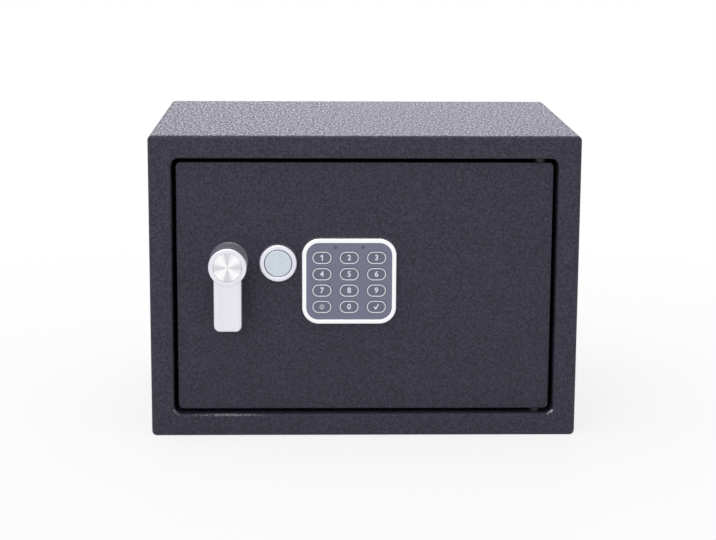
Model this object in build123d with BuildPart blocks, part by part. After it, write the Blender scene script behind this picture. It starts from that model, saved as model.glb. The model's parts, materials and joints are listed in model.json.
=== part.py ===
from build123d import *
import math
import os

os.makedirs("parts", exist_ok=True)

# A compact steel safe with an electronic lock. All sizes are in millimetres.
# The origin is the centre of the cabinet's underside, the front looks towards -Y
# and +Z is up. The door is shut, the lever hangs down and the bolts are drawn in.

# Cabinet shell
cabinet_width = 350.0
cabinet_depth = 250.0
cabinet_height = 250.0
cabinet_wall = 1.5
cabinet_bend = 4.0
front_bend = 2.5
frame_width = 18.5
frame_bend = 1.8
lip_depth = 16.0
opening_corner = 6.0
panel_flange = 12.0
panel_gap = 0.1
anchor_radius = 5.0
anchor_spacing = 200.0
base_anchor_y = 20.0
wall_anchor_rise = 25.0

# Felt on the cabinet floor
mat_thickness = 3.0
mat_margin = 4.0
mat_corner = 5.0
mat_hole_radius = 12.0

# Door plate and its hinge
door_thickness = 3.0
door_recess = 4.5
door_gap = 3.5
door_corner = 4.0
door_edge = 0.9
pin_radius = 3.0
pin_fit = 0.075
snug = 0.05
apart = 0.4
hinge_inset = 10.5
hinge_setback = 4.0
knuckle_width = 11.0
knuckle_depth = 8.0
knuckle_height = 23.0
knuckle_round = 2.5
hinge_plate_thickness = 3.0
hinge_plate_width = 26.0
hinge_plate_depth = 16.0
pin_tail = 1.2
washer_radius = 5.0

# Lever handle
handle_inset = 42.5
handle_rise = 22.0
rosette_radius = 15.5
rosette_height = 3.2
hub_radius = 15.4
hub_front = 29.5
hub_round = 1.1
cap_radius = 11.6
cap_thickness = 1.1
cap_bevel = 0.3
lever_width = 22.5
lever_reach = 53.0
lever_thickness = 12.0
lever_step = 0.8
lever_corner = 5.0
lever_round = 1.6
spindle_radius = 5.0
spindle_square = 7.0
bush_radius = 8.0
spindle_grip = 16.0

# Bolt work on the back of the door
bolt_throw = 18.0
bolt_radius = 8.0
bolt_setback = 17.5
bolt_tip_inset = 1.5
bolt_chamfer = 1.5
bolt_low_inset = 68.0
bolt_high_inset = 38.0
crank_radius = 17.0
crank_thickness = 3.0
crank_gap = 0.9
crank_pin_radius = 3.0
crank_pin_length = 5.6
crank_slot_play = 0.5
crank_screw_head = 4.0
crank_screw_height = 2.2
crank_screw_play = 0.75
screw_shank = 2.0
web_thickness = 2.0
web_gap = 0.6
flange_depth = 23.0
flange_offset = 8.5
web_margin = 12.0
web_reach = 67.0
arm_drop = 17.7
arm_rise = 20.3
lock_window = 2.0
web_corner = 3.0
stud_radius = 2.5
stud_head_radius = 4.5
stud_head_height = 1.6
stud_slot_play = 0.5
stud_column_offset = 9.0
stud_column_pitch = 33.0
stud_above_low = 14.0
stud_below_high = 6.0
bolt_screw_radius = 2.5
bolt_screw_head = 4.5
bolt_screw_height = 2.5
bolt_screw_grip = 10.0
screw_clear = 0.1

# Strike plate behind the left side of the frame
strike_thickness = 1.5
strike_window = 19.0
strike_margin = 24.0
strike_depth = 38.5

# Blocking solenoid
solenoid_offset = 32.4
solenoid_width = 24.0
solenoid_depth = 19.5
solenoid_drop = 12.7
solenoid_height = 34.0
solenoid_wall = 1.5
plunger_radius = 4.0
plunger_length = 23.0
plunger_proud = 2.0
plunger_travel = 6.0
plunger_gap = 0.35
coil_radius = 8.2
coil_flange = 8.9
coil_flange_height = 1.5
coil_clear = 0.1
tab_gap = 1.0
tab_depth = 14.5
spring_radius = 2.9
spring_wire = 0.4
spring_turns = 4.0

# Emergency key lock and its round cover
lock_offset = 40.1
lock_drop = 1.3
bezel_radius = 15.3
bezel_bore = 11.4
bezel_height = 6.0
cover_gap = 0.4
lock_cover_thickness = 1.8
lock_skirt_radius = 10.2
lock_skirt_wall = 1.0
lock_skirt_depth = 2.1
lock_body_radius = 9.0
lock_body_length = 25.0
lock_head_radius = 11.0
lock_head_height = 1.5
lock_plug_radius = 6.0
lock_plug_set = 0.2
keyway_width = 2.2
keyway_height = 8.5
keyway_depth = 12.0
lock_nut_radius = 12.5
lock_nut_height = 3.3
cam_gap = 0.6
cam_thickness = 2.0
cam_hub_radius = 7.0
cam_tip_radius = 4.5
cam_reach = 17.0
cam_square = 6.0

# Keypad
keypad_offset = 57.8
keypad_drop = 14.6
keypad_width = 77.0
keypad_height = 71.0
keypad_corner = 14.0
keypad_rim = 3.75
keypad_round = 1.2
keypad_base_thickness = 1.0
board_thickness = 1.2
board_margin = 3.5
key_mat_thickness = 0.5
dome_height = 0.35
dome_radius = 3.5
face_set = 0.7
face_thickness = 1.5
face_clear = 0.25
key_width = 15.5
key_height = 10.1
key_clear = 0.3
key_flange = 1.2
key_flange_thickness = 0.8
key_crown = 0.6
key_edge = 0.3
key_travel = 0.8
key_pitch_x = 22.2
key_pitch_z = 13.6
key_rows_drop = 0.7
lamp_radius = 1.3
lamp_spread = 22.6
lamp_rise = 28.1
cable_hole_radius = 6.0
keypad_screw_radius = 1.45
keypad_screw_head = 2.8
keypad_screw_height = 1.8
keypad_screw_side = 5.0
keypad_screw_end = 6.0
keypad_screw_shift = 5.0

# Sheet cover over the inside of the door
cover_left_inset = 12.0
cover_right_inset = 33.0
cover_top_inset = 11.0
cover_depth = 33.5
cover_wall = 1.2
cover_corner = 4.0
cover_bend = 2.0
cover_bolt_play = 0.6
post_radius = 4.0
post_inset = 9.0
post_screw_radius = 1.9
post_screw_head = 3.5
post_screw_height = 2.0
post_screw_grip = 11.0

# Battery box with four AA cells
battery_radius = 7.1
battery_length = 49.3
battery_nub = 1.2
battery_nub_radius = 2.7
battery_pitch = 15.4
battery_count = 4
battery_box_inset = 58.0
battery_box_rise = 51.0
battery_end_room = 2.0
battery_side_room = 0.5
contact_thickness = 0.5
contact_width = 10.0
battery_box_wall = 2.0
battery_box_flange = 4.0
lid_thickness = 1.8
lid_overlap = 4.0
lid_skirt = 3.2
lid_wall = 1.5
lid_grip_width = 24.0
lid_grip_ridge = 1.6
lid_grip_pitch = 4.0
lid_grip_height = 0.8
lid_grip_count = 5

# Code reset button
reset_inset = 20.0
reset_drop = 47.0
reset_radius = 3.2
reset_clear = 0.4
reset_flange_radius = 4.4
reset_flange_thickness = 1.4
reset_length = 8.4
reset_proud = 1.4
reset_travel = 1.5
reset_box = 14.0

# Positions that follow from the sizes above
front_y = -cabinet_depth / 2
back_y = cabinet_depth / 2
middle_z = cabinet_height / 2
wall_anchor_z = middle_z + wall_anchor_rise
opening_width = cabinet_width - 2 * frame_width
opening_height = cabinet_height - 2 * frame_width
opening_left = -opening_width / 2
opening_low = frame_width
opening_high = cabinet_height - frame_width
lip_back_y = front_y + lip_depth
door_width = opening_width - 2 * door_gap
door_height = opening_height - 2 * door_gap
door_left = -door_width / 2
door_right = door_width / 2
door_low = opening_low + door_gap
door_high = opening_high - door_gap
door_front_y = front_y + door_recess
door_back_y = door_front_y + door_thickness
hinge_x = door_right - hinge_inset
hinge_y = door_back_y + hinge_setback
handle_x = door_left + handle_inset
handle_z = middle_z + handle_rise
lock_x = handle_x + lock_offset
lock_z = handle_z - lock_drop
keypad_x = lock_x + keypad_offset
keypad_z = lock_z - keypad_drop
bolt_low = door_low + bolt_low_inset
bolt_high = door_high - bolt_high_inset
stud_low = bolt_low + stud_above_low
stud_high = bolt_high - stud_below_high
arm_low_top = lock_z - arm_drop
arm_high_bottom = lock_z + arm_rise
bolt_y = door_back_y + bolt_setback
crank_front_y = door_back_y + crank_gap
crank_back_y = crank_front_y + crank_thickness
web_front_y = crank_back_y + web_gap
web_back_y = web_front_y + web_thickness
flange_x = handle_x - flange_offset
web_left = flange_x - web_thickness
web_right = flange_x + web_reach
web_low = bolt_low - web_margin
web_high = bolt_high + web_margin
crank_arm = bolt_throw / (2 * math.sin(math.radians(45.0)))
crank_pin_x = handle_x + bolt_throw / 2
crank_pin_z = handle_z - crank_arm * math.cos(math.radians(45.0))
crank_slot_width = 2 * (crank_pin_radius + crank_slot_play)
cover_left = door_left + cover_left_inset
cover_right = door_right - cover_right_inset
cover_low = door_low + cover_top_inset
cover_high = door_high - cover_top_inset
cover_width = cover_right - cover_left
cover_height = cover_high - cover_low
cover_mid_x = (cover_left + cover_right) / 2
cover_mid_z = (cover_low + cover_high) / 2
cover_back_y = door_back_y + cover_depth
cover_inner_y = cover_back_y - cover_wall
battery_box_x = cover_right - battery_box_inset
battery_box_z = cover_low + battery_box_rise
reset_x = cover_right - reset_inset
reset_z = cover_high - reset_drop
reset_bore_depth = reset_length - reset_proud - cover_wall + 2 * reset_travel
solenoid_x = lock_x + solenoid_offset
solenoid_low = lock_z - solenoid_drop
solenoid_top = solenoid_low + solenoid_height
plunger_y = door_back_y + solenoid_wall + coil_flange + coil_clear
plunger_tip = solenoid_top + plunger_proud
tab_low = plunger_tip + tab_gap
tab_height = 2 * plunger_travel
tab_x = solenoid_x + (bolt_throw + web_thickness) / 2
lock_back_y = door_front_y - lock_head_height + lock_body_length
cam_front_y = lock_back_y + cam_gap
mat_stack = keypad_base_thickness + board_thickness + key_mat_thickness + dome_height
key_stack = apart + key_travel + key_flange_thickness + face_clear
keypad_proud = mat_stack + key_stack + face_thickness + face_set
keypad_front_y = door_front_y - keypad_proud
keypad_inner_width = keypad_width - 2 * keypad_rim
keypad_inner_height = keypad_height - 2 * keypad_rim
keypad_inner_corner = keypad_corner - keypad_rim
base_front_y = door_front_y - keypad_base_thickness
board_front_y = base_front_y - board_thickness
mat_front_y = board_front_y - key_mat_thickness
face_front_y = keypad_front_y + face_set
face_back_y = face_front_y + face_thickness
key_rows_z = keypad_z - key_rows_drop
key_hole_width = key_width + 2 * key_clear
key_hole_height = key_height + 2 * key_clear
lamp_z = keypad_z + lamp_rise


def across(y):
    # Plane square to the Y axis at depth y, its normal towards the front.
    return Plane.XZ.offset(-y)


# Cabinet: one folded wrap with the front frame and the return lip round the opening.
with BuildPart() as cabinet_wrap:
    with BuildSketch(across(back_y)):
        with Locations((0, middle_z)):
            RectangleRounded(cabinet_width, cabinet_height, cabinet_bend)
    extrude(amount=cabinet_depth)
    fillet(cabinet_wrap.faces().sort_by(Axis.Y)[0].edges(), radius=front_bend)
    with BuildSketch(across(back_y)):
        with Locations((0, middle_z)):
            RectangleRounded(
                cabinet_width - 2 * cabinet_wall,
                cabinet_height - 2 * cabinet_wall,
                cabinet_bend - cabinet_wall,
            )
    extrude(amount=cabinet_depth - cabinet_wall, mode=Mode.SUBTRACT)
    with BuildSketch(across(lip_back_y)):
        with Locations((0, middle_z)):
            RectangleRounded(
                opening_width + 2 * cabinet_wall,
                opening_height + 2 * cabinet_wall,
                opening_corner + cabinet_wall,
            )
    extrude(amount=lip_depth - cabinet_wall)
    with BuildSketch(across(lip_back_y)):
        with Locations((0, middle_z)):
            RectangleRounded(opening_width, opening_height, opening_corner)
    extrude(amount=lip_depth, mode=Mode.SUBTRACT)
    frame_face = cabinet_wrap.faces().sort_by(Axis.Y)[0]
    fillet(frame_face.inner_wires()[0].edges(), radius=frame_bend)
    with BuildSketch(Plane.XY):
        with Locations((0, base_anchor_y)):
            with GridLocations(anchor_spacing, 0, 2, 1):
                Circle(anchor_radius)
    extrude(amount=cabinet_wall, mode=Mode.SUBTRACT)
    for lip_z in (opening_low - cabinet_wall, opening_high):
        with BuildSketch(Plane.XY.offset(lip_z)):
            with Locations((hinge_x, hinge_y)):
                Circle(pin_radius + pin_fit)
        extrude(amount=cabinet_wall, mode=Mode.SUBTRACT)
cabinet_wrap.part.label = "cabinet_wrap"
export_step(cabinet_wrap.part, "parts/cabinet_wrap.step")

# Back panel: a shallow tray welded inside the rear edge, with two wall fixing holes.
with BuildPart() as back_panel:
    tray_width = cabinet_width - 2 * cabinet_wall - 2 * panel_gap
    tray_height = cabinet_height - 2 * cabinet_wall - 2 * panel_gap
    with BuildSketch(across(back_y)):
        with Locations((0, middle_z)):
            RectangleRounded(tray_width, tray_height, cabinet_bend - panel_gap)
    extrude(amount=panel_flange)
    with BuildSketch(across(back_y - cabinet_wall)):
        with Locations((0, middle_z)):
            RectangleRounded(
                tray_width - 2 * cabinet_wall,
                tray_height - 2 * cabinet_wall,
                cabinet_bend - cabinet_wall - panel_gap,
            )
    extrude(amount=panel_flange - cabinet_wall, mode=Mode.SUBTRACT)
    with BuildSketch(across(back_y)):
        with Locations((0, wall_anchor_z)):
            with GridLocations(anchor_spacing, 0, 2, 1):
                Circle(anchor_radius)
    extrude(amount=cabinet_wall, mode=Mode.SUBTRACT)
back_panel.part.label = "back_panel"
export_step(back_panel.part, "parts/back_panel.step")

# Strike plate: a channel welded behind the frame, with a window for each bolt.
with BuildPart() as strike_plate:
    strike_x = opening_left - cabinet_wall
    strike_low = bolt_low - strike_margin
    strike_high = bolt_high + strike_margin
    side_wall_x = -cabinet_width / 2 + cabinet_wall
    strike_front_y = front_y + cabinet_wall
    with BuildSketch(Plane.XY.offset(strike_low)):
        with BuildLine():
            Polyline(
                (strike_x, strike_front_y),
                (strike_x, strike_front_y + strike_depth),
                (side_wall_x, strike_front_y + strike_depth),
                (side_wall_x, strike_front_y + strike_depth - strike_thickness),
                (strike_x - strike_thickness, strike_front_y + strike_depth - strike_thickness),
                (strike_x - strike_thickness, strike_front_y),
                close=True,
            )
        make_face()
    extrude(amount=strike_high - strike_low)
    strike_bend = strike_plate.edges().filter_by(Axis.Z).group_by(Axis.X)[-1].sort_by(Axis.Y)[-1]
    fillet(strike_bend, radius=2 * strike_thickness)
    with BuildSketch(Plane.YZ.offset(strike_x - strike_thickness)):
        with Locations((bolt_y, bolt_low), (bolt_y, bolt_high)):
            RectangleRounded(strike_window, strike_window, strike_thickness)
    extrude(amount=strike_thickness, mode=Mode.SUBTRACT)
strike_plate.part.label = "strike_plate"
export_step(strike_plate.part, "parts/strike_plate.step")

# Hinge plates: thick pads behind the top and bottom lips that carry the pins.
with BuildPart() as hinge_plates:
    plate_front_y = front_y + cabinet_wall
    plate_mid_y = plate_front_y + hinge_plate_depth / 2
    for plate_z in (opening_low - cabinet_wall - hinge_plate_thickness, opening_high + cabinet_wall):
        with BuildSketch(Plane.XY.offset(plate_z)):
            with Locations((hinge_x, plate_mid_y)):
                RectangleRounded(hinge_plate_width, hinge_plate_depth, cabinet_wall)
            with Locations((hinge_x, hinge_y)):
                Circle(pin_radius + pin_fit, mode=Mode.SUBTRACT)
        extrude(amount=hinge_plate_thickness)
hinge_plates.part.label = "hinge_plates"
export_step(hinge_plates.part, "parts/hinge_plates.step")

# Felt mat on the cabinet floor, holed round the floor fixings.
with BuildPart() as floor_mat:
    mat_width = cabinet_width - 2 * cabinet_wall - 2 * mat_margin
    mat_front = lip_back_y
    mat_back = back_y - panel_flange - mat_margin / 2
    with BuildSketch(Plane.XY.offset(cabinet_wall)):
        with Locations((0, (mat_front + mat_back) / 2)):
            RectangleRounded(mat_width, mat_back - mat_front, mat_corner)
        with Locations((0, base_anchor_y)):
            with GridLocations(anchor_spacing, 0, 2, 1):
                Circle(mat_hole_radius, mode=Mode.SUBTRACT)
    extrude(amount=mat_thickness)
floor_mat.part.label = "floor_mat"
export_step(floor_mat.part, "parts/floor_mat.step")

# Door plate with its openings for the handle, the key lock and the keypad cable.
keypad_screw_spots = [
    (
        keypad_x - keypad_inner_width / 2 + keypad_screw_side,
        keypad_z - keypad_inner_height / 2 + keypad_screw_end,
    ),
    (
        keypad_x + keypad_inner_width / 2 - keypad_screw_side,
        keypad_z - keypad_inner_height / 2 + keypad_screw_end,
    ),
    (keypad_x + keypad_screw_shift, keypad_z + keypad_inner_height / 2 - keypad_screw_end),
]
with BuildPart() as door_plate:
    with BuildSketch(across(door_back_y)):
        with Locations((0, middle_z)):
            RectangleRounded(door_width, door_height, door_corner)
    extrude(amount=door_thickness)
    fillet(door_plate.faces().sort_by(Axis.Y)[0].edges(), radius=door_edge)
    with BuildSketch(across(door_back_y)):
        with Locations((handle_x, handle_z)):
            Circle(bush_radius + snug)
        with Locations((lock_x, lock_z)):
            Circle(lock_body_radius + snug)
        with Locations((keypad_x + key_pitch_x, keypad_z)):
            Circle(cable_hole_radius)
        with Locations(*keypad_screw_spots):
            Circle(keypad_screw_radius + snug)
    extrude(amount=door_thickness, mode=Mode.SUBTRACT)
door_plate.part.label = "door_plate"
export_step(door_plate.part, "parts/door_plate.step")

# Hinge knuckles: blocks welded to the back of the door, flush with its ends.
with BuildPart() as hinge_knuckles:
    for knuckle_z in (door_low, door_high - knuckle_height):
        with BuildSketch(Plane.XY.offset(knuckle_z)):
            with Locations((hinge_x, door_back_y)):
                Rectangle(knuckle_width, knuckle_depth, align=(Align.CENTER, Align.MIN))
        extrude(amount=knuckle_height)
    knuckle_edges = hinge_knuckles.edges().filter_by(Axis.Z).group_by(Axis.Y)[-1]
    fillet(knuckle_edges, radius=knuckle_round)
    for knuckle_z in (door_low, door_high - knuckle_height):
        with BuildSketch(Plane.XY.offset(knuckle_z)):
            with Locations((hinge_x, hinge_y)):
                Circle(pin_radius + snug)
        extrude(amount=knuckle_height, mode=Mode.SUBTRACT)
hinge_knuckles.part.label = "hinge_knuckles"
export_step(hinge_knuckles.part, "parts/hinge_knuckles.step")

# Hinge pins: fixed in the knuckles, turning in the lips and the hinge plates.
pin_top = opening_high + cabinet_wall + hinge_plate_thickness + pin_tail
pin_length = pin_top - (door_high - knuckle_height)
with BuildPart() as hinge_pins:
    for pin_z in (cabinet_height - pin_top, pin_top - pin_length):
        with BuildSketch(Plane.XY.offset(pin_z)):
            with Locations((hinge_x, hinge_y)):
                Circle(pin_radius)
        extrude(amount=pin_length)
    pin_ends = hinge_pins.edges().filter_by(GeomType.CIRCLE).group_by(Axis.Z)
    chamfer(pin_ends[0] + pin_ends[-1], length=pin_radius / 6)
hinge_pins.part.label = "hinge_pins"
export_step(hinge_pins.part, "parts/hinge_pins.step")

# Hinge washers in the gap between the door ends and the lips.
with BuildPart() as hinge_washers:
    for washer_z in (opening_low + apart, door_high):
        with BuildSketch(Plane.XY.offset(washer_z)):
            with Locations((hinge_x, hinge_y)):
                Circle(washer_radius)
                Circle(pin_radius + snug, mode=Mode.SUBTRACT)
        extrude(amount=door_gap - apart)
hinge_washers.part.label = "hinge_washers"
export_step(hinge_washers.part, "parts/hinge_washers.step")

# Handle rosette and the bush that the spindle turns in.
bush_front_y = door_front_y - rosette_height + snug
with BuildPart() as handle_rosette:
    with BuildSketch(across(door_front_y)):
        with Locations((handle_x, handle_z)):
            Circle(rosette_radius)
    extrude(amount=rosette_height)
    fillet(handle_rosette.faces().sort_by(Axis.Y)[0].edges(), radius=rosette_height / 4)
    with BuildSketch(across(door_front_y)):
        with Locations((handle_x, handle_z)):
            Circle(bush_radius + snug)
    extrude(amount=rosette_height, mode=Mode.SUBTRACT)
handle_rosette.part.label = "handle_rosette"
export_step(handle_rosette.part, "parts/handle_rosette.step")

with BuildPart() as spindle_bush:
    with BuildSketch(across(door_back_y)):
        with Locations((handle_x, handle_z)):
            Circle(bush_radius)
            Circle(spindle_radius + pin_fit, mode=Mode.SUBTRACT)
    extrude(amount=door_back_y - bush_front_y)
spindle_bush.part.label = "spindle_bush"
export_step(spindle_bush.part, "parts/spindle_bush.step")

# Lever handle: a round hub with a flat lever below it, bored for the spindle.
hub_back_y = door_front_y - rosette_height - apart
hub_front_y = door_front_y - hub_front
lever_front_y = hub_front_y + lever_step
with BuildPart() as lever_handle:
    with BuildSketch(across(lever_front_y + lever_thickness)):
        with Locations((handle_x, handle_z)):
            Rectangle(lever_width, lever_reach, align=(Align.CENTER, Align.MAX))
    extrude(amount=lever_thickness)
    lever_foot = lever_handle.edges().filter_by(Axis.Y).group_by(Axis.Z)[0]
    fillet(lever_foot, radius=lever_corner)
    lever_rims = lever_handle.faces().filter_by(Axis.Y).edges().group_by(Axis.Z)[:-1]
    fillet([edge for group in lever_rims for edge in group], radius=lever_round)
    with BuildSketch(across(hub_back_y)):
        with Locations((handle_x, handle_z)):
            Circle(hub_radius)
    extrude(amount=hub_back_y - hub_front_y)
    hub_rim = lever_handle.edges().filter_by(GeomType.CIRCLE).sort_by(Axis.Y)[0]
    fillet(hub_rim, radius=hub_round)
    with BuildSketch(across(hub_front_y + cap_thickness)):
        with Locations((handle_x, handle_z)):
            Circle(cap_radius + snug)
    extrude(amount=cap_thickness, mode=Mode.SUBTRACT)
    with BuildSketch(across(hub_back_y)):
        with Locations((handle_x, handle_z)):
            Circle(spindle_radius + snug)
    extrude(amount=spindle_grip, mode=Mode.SUBTRACT)
lever_handle.part.label = "lever_handle"
export_step(lever_handle.part, "parts/lever_handle.step")

# Cap: the thin spun disc let into the front of the hub.
with BuildPart() as handle_cap:
    with BuildSketch(across(hub_front_y + cap_thickness)):
        with Locations((handle_x, handle_z)):
            Circle(cap_radius)
    extrude(amount=cap_thickness)
    chamfer(handle_cap.faces().sort_by(Axis.Y)[0].edges(), length=cap_bevel)
handle_cap.part.label = "handle_cap"
export_step(handle_cap.part, "parts/handle_cap.step")

# Spindle: round through the bush, square where it drives the crank.
with BuildPart() as handle_spindle:
    with BuildSketch(across(crank_front_y)):
        with Locations((handle_x, handle_z)):
            Circle(spindle_radius)
    extrude(amount=crank_front_y - hub_back_y + spindle_grip - snug)
    with BuildSketch(across(crank_back_y)):
        with Locations((handle_x, handle_z)):
            Rectangle(spindle_square, spindle_square)
    extrude(amount=crank_thickness)
    with BuildSketch(across(crank_back_y)):
        with Locations((handle_x, handle_z)):
            Circle(screw_shank + snug)
    extrude(amount=bolt_screw_grip + snug, mode=Mode.SUBTRACT)
handle_spindle.part.label = "handle_spindle"
export_step(handle_spindle.part, "parts/handle_spindle.step")

# Crank: a disc on the spindle whose pin drives the bolt carriage from side to side.
with BuildPart() as crank_disc:
    with BuildSketch(across(crank_back_y)):
        with Locations((handle_x, handle_z)):
            Circle(crank_radius)
            Rectangle(spindle_square + 2 * snug, spindle_square + 2 * snug, mode=Mode.SUBTRACT)
    extrude(amount=crank_thickness)
    with BuildSketch(across(crank_back_y + crank_pin_length)):
        with Locations((crank_pin_x, crank_pin_z)):
            Circle(crank_pin_radius)
    extrude(amount=crank_pin_length)
    chamfer(crank_disc.faces().sort_by(Axis.Y)[-1].edges(), length=crank_pin_radius / 6)
crank_disc.part.label = "crank_disc"
export_step(crank_disc.part, "parts/crank_disc.step")

# Screw that holds the crank on the spindle.
with BuildPart() as crank_screw:
    with BuildSketch(across(crank_back_y + crank_screw_height)):
        with Locations((handle_x, handle_z)):
            Circle(crank_screw_head)
    extrude(amount=crank_screw_height)
    fillet(crank_screw.faces().sort_by(Axis.Y)[-1].edges(), radius=crank_screw_height / 2)
    with BuildSketch(across(crank_back_y)):
        with Locations((handle_x, handle_z)):
            Circle(screw_shank)
    extrude(amount=bolt_screw_grip)
crank_screw.part.label = "crank_screw"
export_step(crank_screw.part, "parts/crank_screw.step")

# Bolt carriage: a bent plate, slotted for its studs and for the crank pin, with a
# flange for the bolts on the left and a tab for the solenoid on the right.
with BuildPart() as bolt_carriage:
    with BuildSketch(across(web_back_y)) as web_outline:
        with Locations((web_left, web_low)):
            Rectangle(web_right - web_left, web_high - web_low, align=(Align.MIN, Align.MIN))
        with Locations((lock_x - lock_body_radius - lock_window, arm_low_top)):
            Rectangle(
                web_reach,
                arm_high_bottom - arm_low_top,
                align=(Align.MIN, Align.MIN),
                mode=Mode.SUBTRACT,
            )
        with Locations((web_right, tab_low)):
            Rectangle(tab_x - web_right, tab_height, align=(Align.MIN, Align.MIN))
        fillet(web_outline.vertices().group_by(Axis.X)[1:-1][0], radius=web_corner)
        with Locations((handle_x + bolt_throw / 2, handle_z)):
            SlotCenterToCenter(bolt_throw, 2 * (crank_screw_head + crank_screw_play), mode=Mode.SUBTRACT)
        with Locations((crank_pin_x, handle_z)):
            Rectangle(
                crank_slot_width,
                crank_arm + crank_pin_radius + crank_slot_play,
                align=(Align.CENTER, Align.MAX),
                mode=Mode.SUBTRACT,
            )
        for column in range(2):
            stud_x = web_left + stud_column_offset + column * stud_column_pitch
            with Locations((stud_x + bolt_throw / 2, stud_low), (stud_x + bolt_throw / 2, stud_high)):
                SlotCenterToCenter(bolt_throw, 2 * (stud_radius + stud_slot_play), mode=Mode.SUBTRACT)
    extrude(amount=web_thickness)
    with BuildSketch(Plane.YZ.offset(web_left)):
        with Locations((web_front_y, web_low)):
            Rectangle(flange_depth, web_high - web_low, align=(Align.MIN, Align.MIN))
        with Locations((bolt_y, bolt_low), (bolt_y, bolt_high)):
            Circle(bolt_screw_radius + screw_clear, mode=Mode.SUBTRACT)
    extrude(amount=web_thickness)
    with BuildSketch(Plane.YZ.offset(tab_x - web_thickness)):
        with Locations((web_front_y, tab_low)):
            Rectangle(tab_depth, tab_height, align=(Align.MIN, Align.MIN))
    extrude(amount=web_thickness)
bolt_carriage.part.label = "bolt_carriage"
export_step(bolt_carriage.part, "parts/bolt_carriage.step")

# The two round live bolts.
bolt_tip_x = door_left + bolt_tip_inset
with BuildPart() as live_bolts:
    with BuildSketch(Plane.YZ.offset(bolt_tip_x)):
        with Locations((bolt_y, bolt_low), (bolt_y, bolt_high)):
            Circle(bolt_radius)
    extrude(amount=web_left - bolt_tip_x)
    chamfer(live_bolts.faces().filter_by(Axis.X).group_by(Axis.X)[0].edges(), length=bolt_chamfer)
    with BuildSketch(Plane.YZ.offset(web_left)):
        with Locations((bolt_y, bolt_low), (bolt_y, bolt_high)):
            Circle(bolt_screw_radius)
    extrude(amount=-bolt_screw_grip - snug, mode=Mode.SUBTRACT)
live_bolts.part.label = "live_bolts"
export_step(live_bolts.part, "parts/live_bolts.step")

# Screws that hold the bolts to the carriage flange.
with BuildPart() as bolt_screws:
    with BuildSketch(Plane.YZ.offset(flange_x)):
        with Locations((bolt_y, bolt_low), (bolt_y, bolt_high)):
            Circle(bolt_screw_head)
    extrude(amount=bolt_screw_height)
    fillet(bolt_screws.faces().filter_by(Axis.X).group_by(Axis.X)[-1].edges(), radius=bolt_screw_height / 2)
    with BuildSketch(Plane.YZ.offset(flange_x)):
        with Locations((bolt_y, bolt_low), (bolt_y, bolt_high)):
            Circle(bolt_screw_radius - snug)
    extrude(amount=-bolt_screw_grip - web_thickness)
bolt_screws.part.label = "bolt_screws"
export_step(bolt_screws.part, "parts/bolt_screws.step")

# Shoulder studs on the door plate that the carriage slides on.
stud_neck_start = web_front_y - apart - door_back_y
stud_neck_end = web_back_y + apart - door_back_y
with BuildPart() as carriage_studs:
    for column in range(2):
        stud_x = web_left + stud_column_offset + column * stud_column_pitch
        for stud_z in (stud_low, stud_high):
            with BuildSketch(Plane((stud_x, door_back_y, stud_z), x_dir=(1, 0, 0), z_dir=(0, 0, 1))):
                with BuildLine():
                    Polyline(
                        (0, 0),
                        (stud_head_radius, 0),
                        (stud_head_radius, stud_neck_start),
                        (stud_radius, stud_neck_start),
                        (stud_radius, stud_neck_end),
                        (stud_head_radius, stud_neck_end),
                        (stud_head_radius, stud_neck_end + stud_head_height),
                        (0, stud_neck_end + stud_head_height),
                        close=True,
                    )
                make_face()
            revolve(axis=Axis((stud_x, door_back_y, stud_z), (0, 1, 0)))
carriage_studs.part.label = "carriage_studs"
export_step(carriage_studs.part, "parts/carriage_studs.step")

# Solenoid frame: a channel screwed to the door, with a hole for the plunger on top.
with BuildPart() as solenoid_frame:
    with BuildSketch(Plane.YZ.offset(solenoid_x - solenoid_width / 2)):
        with Locations((door_back_y, solenoid_low)):
            Rectangle(solenoid_depth, solenoid_height, align=(Align.MIN, Align.MIN))
        with Locations((door_back_y + solenoid_wall, solenoid_low + solenoid_wall)):
            Rectangle(
                solenoid_depth,
                solenoid_height - 2 * solenoid_wall,
                align=(Align.MIN, Align.MIN),
                mode=Mode.SUBTRACT,
            )
    extrude(amount=solenoid_width)
    with BuildSketch(Plane.XY.offset(solenoid_top - solenoid_wall)):
        with Locations((solenoid_x, plunger_y)):
            Circle(plunger_radius + plunger_gap)
    extrude(amount=solenoid_wall, mode=Mode.SUBTRACT)
solenoid_frame.part.label = "solenoid_frame"
export_step(solenoid_frame.part, "parts/solenoid_frame.step")

# Coil on its flanged bobbin.
with BuildPart() as solenoid_coil:
    coil_low = solenoid_low + solenoid_wall
    coil_high = solenoid_top - solenoid_wall
    with BuildSketch(Plane.XY.offset(coil_low)):
        with Locations((solenoid_x, plunger_y)):
            Circle(coil_radius)
    extrude(amount=coil_high - coil_low)
    for flange_low in (coil_low, coil_high - coil_flange_height):
        with BuildSketch(Plane.XY.offset(flange_low)):
            with Locations((solenoid_x, plunger_y)):
                Circle(coil_flange)
        extrude(amount=coil_flange_height)
    with BuildSketch(Plane.XY.offset(coil_low)):
        with Locations((solenoid_x, plunger_y)):
            Circle(plunger_radius + plunger_gap)
    extrude(amount=coil_high - coil_low, mode=Mode.SUBTRACT)
solenoid_coil.part.label = "solenoid_coil"
export_step(solenoid_coil.part, "parts/solenoid_coil.step")

# Plunger that rises beside the carriage tab and blocks it.
with BuildPart() as solenoid_plunger:
    with BuildSketch(Plane.XY.offset(plunger_tip - plunger_length)):
        with Locations((solenoid_x, plunger_y)):
            Circle(plunger_radius)
    extrude(amount=plunger_length)
    chamfer(solenoid_plunger.faces().sort_by(Axis.Z)[-1].edges(), length=plunger_radius / 5)
solenoid_plunger.part.label = "solenoid_plunger"
export_step(solenoid_plunger.part, "parts/solenoid_plunger.step")

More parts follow.
